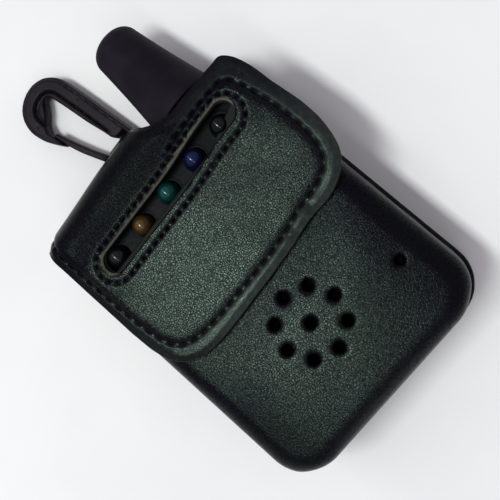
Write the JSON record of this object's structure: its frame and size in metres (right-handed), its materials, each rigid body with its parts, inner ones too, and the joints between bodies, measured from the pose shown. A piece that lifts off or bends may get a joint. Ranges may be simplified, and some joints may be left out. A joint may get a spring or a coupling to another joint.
{
  "type": "pocket radio in leather pouch",
  "caption": "Pocket radio with a row of indicator lamps, speaker and stub antenna, in a fitted leather pouch with a magnetic flap and a snap hook.",
  "frame": {"origin": "centre of the speaker's X position and of the pouch's length, on the outer face of the flat back panel, on which the radio lies", "axes": "+X to the right as the front is seen, +Y towards the antenna and the snap hook, +Z out of the front"},
  "size_m": [0.0692, 0.1251, 0.0269],
  "materials": {
    "leather": "black pebbled grain, semi-gloss",
    "lining": "raw grey-beige flesh side",
    "hook_plastic": "black moulded, satin",
    "antenna_rubber": "matte black",
    "case_plastic": "fine texture",
    "panel_plastic": "dark grey, smooth",
    "lens_clear": "clear epoxy lens",
    "lens_amber": "tinted diffused lens",
    "lens_green": "tinted diffused lens",
    "lens_blue": "tinted diffused lens",
    "lens_smoked": "smoked lens",
    "steel": "plated",
    "magnet": "plated magnet",
    "brass": "turned",
    "copper": "enamelled copper wire",
    "board": "green solder mask",
    "component": "moulded epoxy",
    "ferrite": "sintered ferrite",
    "cone_paper": "pressed paper cone",
    "cell_jacket": "printed sleeve, no lettering"
  },
  "bodies": {
    "case": {"pouch_shell": "leather", "back_panel": "leather", "flap_strap": "leather", "closure_keeper": "steel", "hook_tab": "leather", "front_housing": "case_plastic", "rear_housing": "case_plastic", "battery_door": "case_plastic", "housing_screw_1": "steel", "housing_screw_2": "steel", "housing_screw_3": "steel", "housing_screw_4": "steel", "lamp_panel": "panel_plastic", "lamp_clear": "lens_clear", "lamp_amber": "lens_amber", "lamp_green": "lens_green", "lamp_blue": "lens_blue", "lamp_smoked": "lens_smoked", "main_board": "board", "radio_chip": "component", "audio_transformer": "ferrite", "filter_capacitor": "cell_jacket", "crystal": "steel", "ferrite_rod": "ferrite", "ferrite_coil": "copper", "volume_control": "component", "tuning_capacitor": "component", "scan_switch": "component", "speaker_frame": "steel", "speaker_cone": "cone_paper", "speaker_magnet": "magnet", "battery_cell_1": "cell_jacket", "battery_cell_2": "cell_jacket", "battery_spring_1": "steel", "battery_spring_2": "steel", "battery_contact": "steel", "antenna_sleeve": "antenna_rubber", "antenna_bush": "brass", "antenna_coil": "copper"},
    "flap": {"flap_leather": "leather", "flap_lining": "lining", "closure_magnet": "magnet"},
    "hook": {"hook_body": "hook_plastic"},
    "gate": {"hook_gate": "hook_plastic"},
    "volume_dial": {"volume_wheel": "case_plastic", "volume_wheel_screw": "steel"},
    "tuning_dial": {"tuning_wheel": "case_plastic", "tuning_wheel_screw": "steel"},
    "scan_key": {"scan_button": "case_plastic"}
  },
  "joints": [
    {"name": "flap_hinge", "type": "hinge", "parent": "case", "child": "flap", "pos_m": [0, 0.0365, 0.02695], "axis": [-1, 0, 0], "range_deg": [0, 120]},
    {"name": "hook_swing", "type": "hinge", "parent": "case", "child": "hook", "pos_m": [-0.002, 0.0486, 0.003], "axis": [1, 0, 0], "range_deg": [0, 90]},
    {"name": "gate_flex", "type": "hinge", "parent": "hook", "child": "gate", "pos_m": [-0.0074, 0.0507, 0.003], "axis": [0, 0, -1], "range_deg": [0, 18], "stiffness_Nm_per_rad": 0.02},
    {"name": "volume_turn", "type": "hinge", "parent": "case", "child": "volume_dial", "pos_m": [0.0244, 0.009, 0.0058], "axis": [0, 0, 1], "range_deg": [0, 270]},
    {"name": "tuning_turn", "type": "hinge", "parent": "case", "child": "tuning_dial", "pos_m": [0.0244, 0.025, 0.0058], "axis": [0, 0, 1], "range_deg": [-90, 90]},
    {"name": "scan_press", "type": "slide", "parent": "case", "child": "scan_key", "axis": [0, 0, -1], "range_m": [0, 0.0008], "stiffness_N_per_m": 200}
  ]
}
